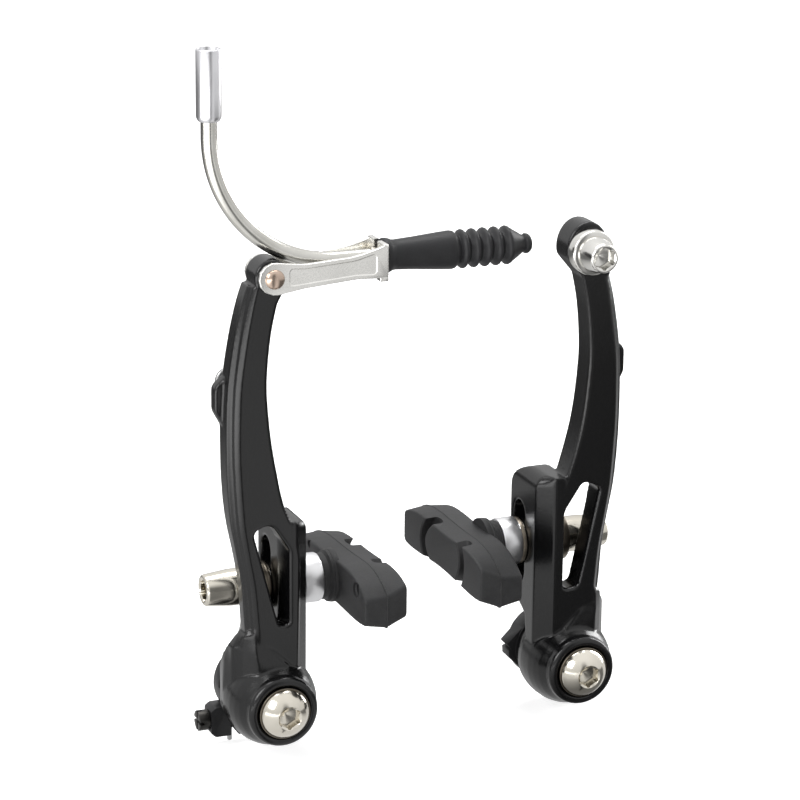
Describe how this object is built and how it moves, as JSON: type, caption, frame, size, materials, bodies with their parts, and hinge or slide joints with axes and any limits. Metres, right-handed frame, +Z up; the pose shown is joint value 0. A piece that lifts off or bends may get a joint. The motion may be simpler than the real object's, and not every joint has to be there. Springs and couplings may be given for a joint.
{
  "type": "v-brake",
  "caption": "Linear-pull bicycle rim brake: a pair of sprung arms with adjustable pads, a cable link with its bent guide tube, and a rubber boot.",
  "frame": {"origin": "midway between the two pivot axes, in the plane of the arms' front faces", "axes": "+X across the wheel to the cable clamp's side, +Y back to the fork bosses along both pivot axes, +Z up along the arms"},
  "size_m": [0.1134, 0.0516, 0.1783],
  "materials": {
    "arm_paint": "gloss black paint over forged aluminium",
    "bolt_nickel": "polished nickel plate",
    "bright_steel": "bright turned steel",
    "dark_washer": "dark bronze passivate",
    "spring_wire": "drawn stainless wire",
    "housing_plastic": "black moulded plastic",
    "black_screw": "black oxide",
    "pad_rubber": "matte moulded rubber",
    "boot_rubber": "matte moulded rubber",
    "satin_silver": "satin",
    "link_plate": "bright satin plate",
    "rivet_nickel": "warm nickel",
    "tube_steel": "satin stainless",
    "liner_plastic": "low-friction liner"
  },
  "bodies": {
    "fork_side": {"left_pivot_bush": "bright_steel", "left_pivot_bolt": "bolt_nickel", "left_bolt_washer": "dark_washer", "left_return_spring": "spring_wire", "left_spring_housing": "housing_plastic", "right_pivot_bush": "bright_steel", "right_pivot_bolt": "bolt_nickel", "right_bolt_washer": "dark_washer", "right_return_spring": "spring_wire", "right_spring_housing": "housing_plastic"},
    "left_arm": {"left_arm": "arm_paint"},
    "right_arm": {"right_arm": "arm_paint", "cable_clamp_bolt": "bolt_nickel", "cable_clamp_washer": "satin_silver"},
    "left_pad_seat": {"left_inner_ball_washer": "dark_washer", "left_outer_ball_washer": "dark_washer"},
    "left_pad_clamp": {"left_inner_cup": "satin_silver", "left_outer_cup": "dark_washer", "left_pad_nut": "bolt_nickel"},
    "left_pad": {"left_brake_pad": "pad_rubber", "left_pad_stud": "bright_steel"},
    "left_screw": {"left_tension_screw": "black_screw"},
    "right_pad_seat": {"right_inner_ball_washer": "dark_washer", "right_outer_ball_washer": "dark_washer"},
    "right_pad_clamp": {"right_inner_cup": "satin_silver", "right_outer_cup": "dark_washer", "right_pad_nut": "bolt_nickel"},
    "right_pad": {"right_brake_pad": "pad_rubber", "right_pad_stud": "bright_steel"},
    "right_screw": {"right_tension_screw": "black_screw"},
    "link": {"noodle_link": "link_plate", "link_rivet": "rivet_nickel"},
    "noodle": {"noodle_tube": "tube_steel", "noodle_liner": "liner_plastic", "noodle_ferrule": "satin_silver", "noodle_tip": "bright_steel", "noodle_boot": "boot_rubber"}
  },
  "joints": [
    {"name": "left_arm_pivot", "type": "hinge", "parent": "fork_side", "child": "left_arm", "pos_m": [-0.04, 0, 0], "axis": [0, 1, 0], "range_deg": [-25, 2], "stiffness_Nm_per_rad": 0.6, "deforming": ["left_return_spring"]},
    {"name": "left_pad_height", "type": "slide", "parent": "left_arm", "child": "left_pad_seat", "axis": [0, 0, 1], "range_m": [-0.004, 0.0085]},
    {"name": "left_pad_toe", "type": "hinge", "parent": "left_pad_seat", "child": "left_pad_clamp", "pos_m": [-0.03463, 0.0135, 0.0271], "axis": [0, 0, 1], "range_deg": [-4.5, 4.5]},
    {"name": "left_pad_roll", "type": "hinge", "parent": "left_pad_clamp", "child": "left_pad", "pos_m": [-0.03463, 0.0135, 0.0271], "axis": [-1, 0, 0], "range_deg": [-15, 15]},
    {"name": "left_screw_travel", "type": "slide", "parent": "fork_side", "child": "left_screw", "axis": [-1, 0, 0], "range_m": [0, 0.003]},
    {"name": "right_arm_pivot", "type": "hinge", "parent": "fork_side", "child": "right_arm", "pos_m": [0.04, 0, 0], "axis": [0, -1, 0], "range_deg": [-25, 2], "stiffness_Nm_per_rad": 0.6, "deforming": ["right_return_spring"]},
    {"name": "right_pad_height", "type": "slide", "parent": "right_arm", "child": "right_pad_seat", "axis": [0, 0, 1], "range_m": [-0.006, 0.007]},
    {"name": "right_pad_toe", "type": "hinge", "parent": "right_pad_seat", "child": "right_pad_clamp", "pos_m": [0.03363, 0.0135, 0.0303], "axis": [0, 0, 1], "range_deg": [-4.5, 4.5]},
    {"name": "right_pad_roll", "type": "hinge", "parent": "right_pad_clamp", "child": "right_pad", "pos_m": [0.03363, 0.0135, 0.0303], "axis": [1, 0, 0], "range_deg": [-15, 15]},
    {"name": "right_screw_travel", "type": "slide", "parent": "fork_side", "child": "right_screw", "axis": [1, 0, 0], "range_m": [0, 0.003]},
    {"name": "link_hinge", "type": "hinge", "parent": "left_arm", "child": "link", "pos_m": [-0.04107, 0.00375, 0.10808], "axis": [0, -1, 0], "range_deg": [-30, 25]},
    {"name": "noodle_swivel", "type": "hinge", "parent": "link", "child": "noodle", "pos_m": [-0.0122, 0.00375, 0.1103], "axis": [1, 0, 0], "range_deg": [-8, 8]}
  ]
}
